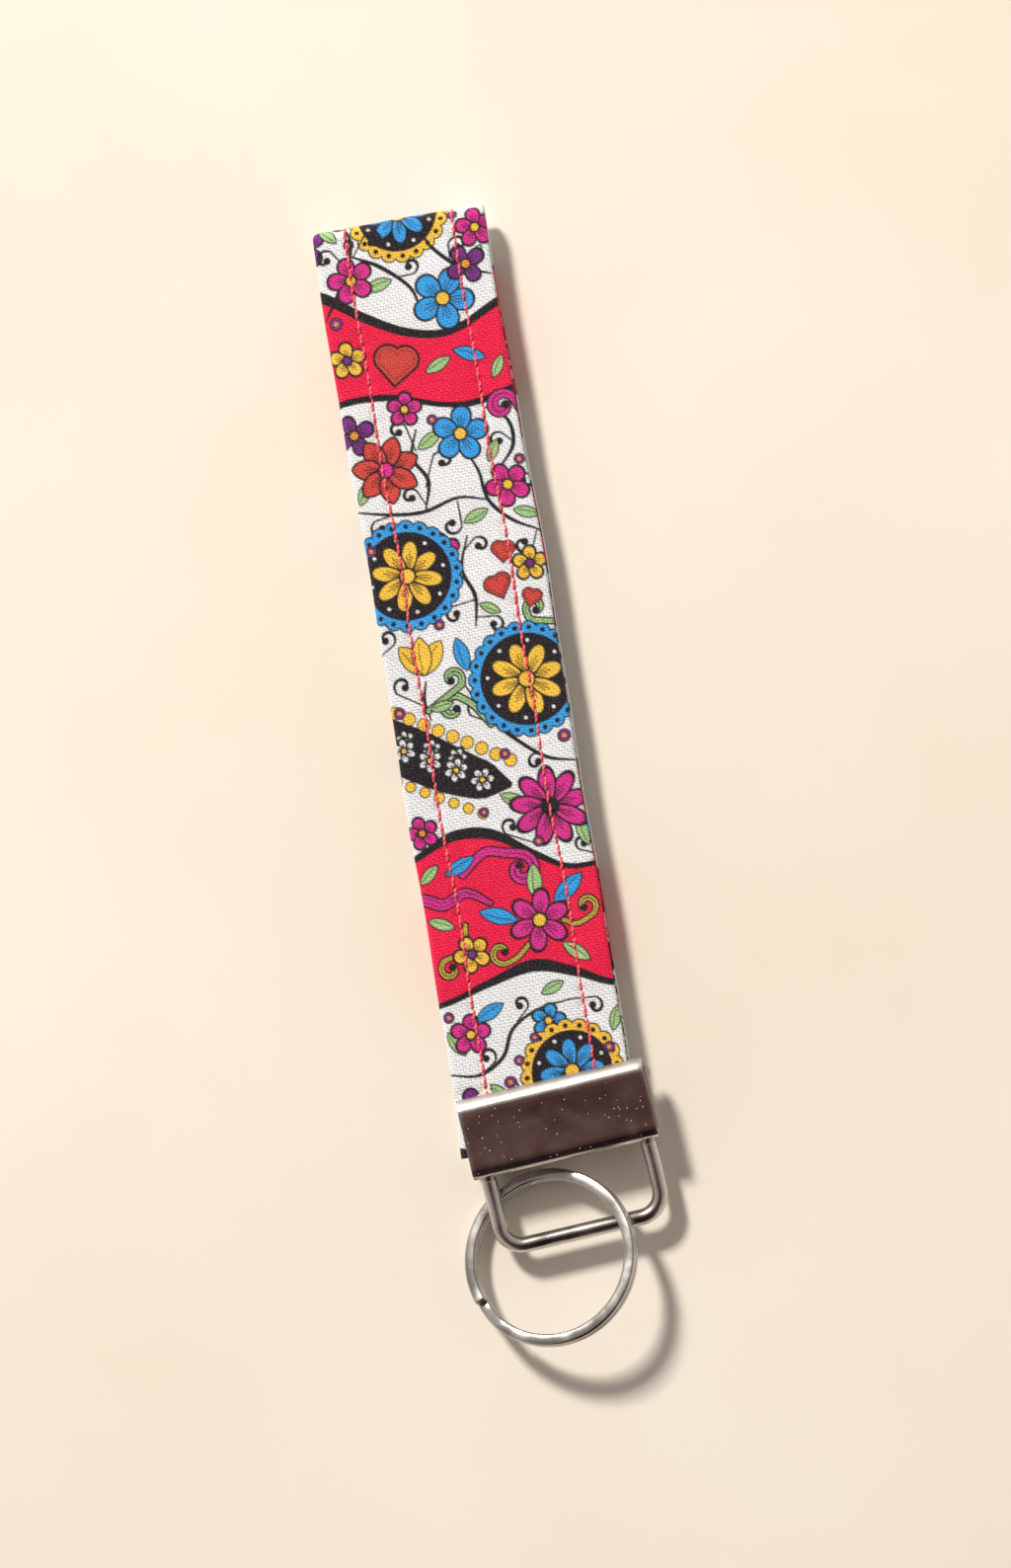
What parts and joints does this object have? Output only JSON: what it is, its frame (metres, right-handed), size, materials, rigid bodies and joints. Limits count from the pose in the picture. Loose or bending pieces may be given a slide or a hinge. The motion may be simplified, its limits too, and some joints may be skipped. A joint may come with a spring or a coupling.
{
  "type": "wristlet keychain",
  "caption": "Printed cotton wrist loop sewn flat, crimped in a metal clamp with a wire loop and a split ring for keys.",
  "frame": {"origin": "middle of the clamp's flat back face, which rests on the surface", "axes": "+Z out of the back face towards the front of the strap, +Y from the clamp towards the fold of the wrist loop, +X across the clamp; the strap itself leans 3.9 degrees towards +X, as it was crimped"},
  "size_m": [0.0451, 0.1946, 0.0121],
  "materials": {
    "printed_cotton": "plain-woven quilting cotton, printed in several colours, matt",
    "interfacing": "stiff woven interfacing, matt",
    "topstitch_thread": "spun polyester thread, slight sheen",
    "clamp_steel": "bright nickel plate on stamped steel",
    "loop_wire": "bright nickel plate on bent wire",
    "ring_wire": "nickel plate on spring wire"
  },
  "bodies": {
    "hardware": {"clamp": "clamp_steel", "wire_loop": "loop_wire", "front_end_cover": "printed_cotton", "front_end_core": "interfacing", "back_end_cover": "printed_cotton", "back_end_core": "interfacing"},
    "key_ring": {"split_ring": "ring_wire"},
    "neck": {"front_neck_cover": "printed_cotton", "front_neck_core": "interfacing", "back_neck_cover": "printed_cotton", "back_neck_core": "interfacing"},
    "fold": {"fold_cover": "printed_cotton", "fold_core": "interfacing"},
    "front_1": {"front_cover_1": "printed_cotton", "front_core_1": "interfacing", "front_stitching_1": "topstitch_thread"},
    "front_2": {"front_cover_2": "printed_cotton", "front_core_2": "interfacing", "front_stitching_2": "topstitch_thread"},
    "front_3": {"front_cover_3": "printed_cotton", "front_core_3": "interfacing", "front_stitching_3": "topstitch_thread"},
    "front_4": {"front_cover_4": "printed_cotton", "front_core_4": "interfacing", "front_stitching_4": "topstitch_thread"},
    "back_1": {"back_cover_1": "printed_cotton", "back_core_1": "interfacing", "back_stitching_1": "topstitch_thread"},
    "back_2": {"back_cover_2": "printed_cotton", "back_core_2": "interfacing", "back_stitching_2": "topstitch_thread"},
    "back_3": {"back_cover_3": "printed_cotton", "back_core_3": "interfacing", "back_stitching_3": "topstitch_thread"},
    "back_4": {"back_cover_4": "printed_cotton", "back_core_4": "interfacing", "back_stitching_4": "topstitch_thread"}
  },
  "joints": [
    {"name": "ring_swing", "type": "hinge", "parent": "hardware", "child": "key_ring", "pos_m": [0, -0.0193, 0.0045], "axis": [-1, 0, 0], "range_deg": [0, 120]},
    {"name": "neck_bend", "type": "hinge", "parent": "hardware", "child": "neck", "pos_m": [-0.0015, 0.0094, 0.0045], "axis": [1, 0, 0], "range_deg": [-80, 80]},
    {"name": "loop_open", "type": "hinge", "parent": "neck", "child": "front_1", "pos_m": [-0.00089, 0.01588, 0.00565], "axis": [0.9977, -0.068, 0], "range_deg": [0, 60]},
    {"name": "front_bend_2", "type": "hinge", "parent": "front_1", "child": "front_2", "pos_m": [0.00139, 0.0493, 0.00565], "axis": [0.9977, -0.068, 0], "range_deg": [-40.01, 0]},
    {"name": "front_bend_3", "type": "hinge", "parent": "front_2", "child": "front_3", "pos_m": [0.00367, 0.08272, 0.00565], "axis": [0.9977, -0.068, 0], "range_deg": [-40.01, 0]},
    {"name": "front_bend_4", "type": "hinge", "parent": "front_3", "child": "front_4", "pos_m": [0.00595, 0.11615, 0.00565], "axis": [0.9977, -0.068, 0], "range_deg": [-40.01, 0]},
    {"name": "front_fold_bend", "type": "hinge", "parent": "front_4", "child": "fold", "pos_m": [0.00823, 0.14957, 0.00565], "axis": [0.9977, -0.068, 0], "range_deg": [0, 60.01]},
    {"name": "back_fold_bend", "type": "hinge", "parent": "fold", "child": "back_4", "pos_m": [0.00823, 0.14957, 0.00335], "axis": [0.9977, -0.068, 0], "range_deg": [0, 60.01]},
    {"name": "back_bend_4", "type": "hinge", "parent": "back_4", "child": "back_3", "pos_m": [0.00595, 0.11615, 0.00335], "axis": [0.9977, -0.068, 0], "range_deg": [-40.01, 0]},
    {"name": "back_bend_3", "type": "hinge", "parent": "back_3", "child": "back_2", "pos_m": [0.00367, 0.08272, 0.00335], "axis": [0.9977, -0.068, 0], "range_deg": [-40.01, 0]},
    {"name": "back_bend_2", "type": "hinge", "parent": "back_2", "child": "back_1", "pos_m": [0.00139, 0.0493, 0.00335], "axis": [0.9977, -0.068, 0], "range_deg": [-40.01, 0]}
  ],
  "couplings": [
    {"joint": "front_bend_2", "follows": "loop_open", "ratio": -0.66667},
    {"joint": "front_bend_3", "follows": "loop_open", "ratio": -0.66667},
    {"joint": "front_bend_4", "follows": "loop_open", "ratio": -0.66667},
    {"joint": "front_fold_bend", "follows": "loop_open", "ratio": 1},
    {"joint": "back_fold_bend", "follows": "loop_open", "ratio": 1},
    {"joint": "back_bend_4", "follows": "loop_open", "ratio": -0.66667},
    {"joint": "back_bend_3", "follows": "loop_open", "ratio": -0.66667},
    {"joint": "back_bend_2", "follows": "loop_open", "ratio": -0.66667}
  ]
}
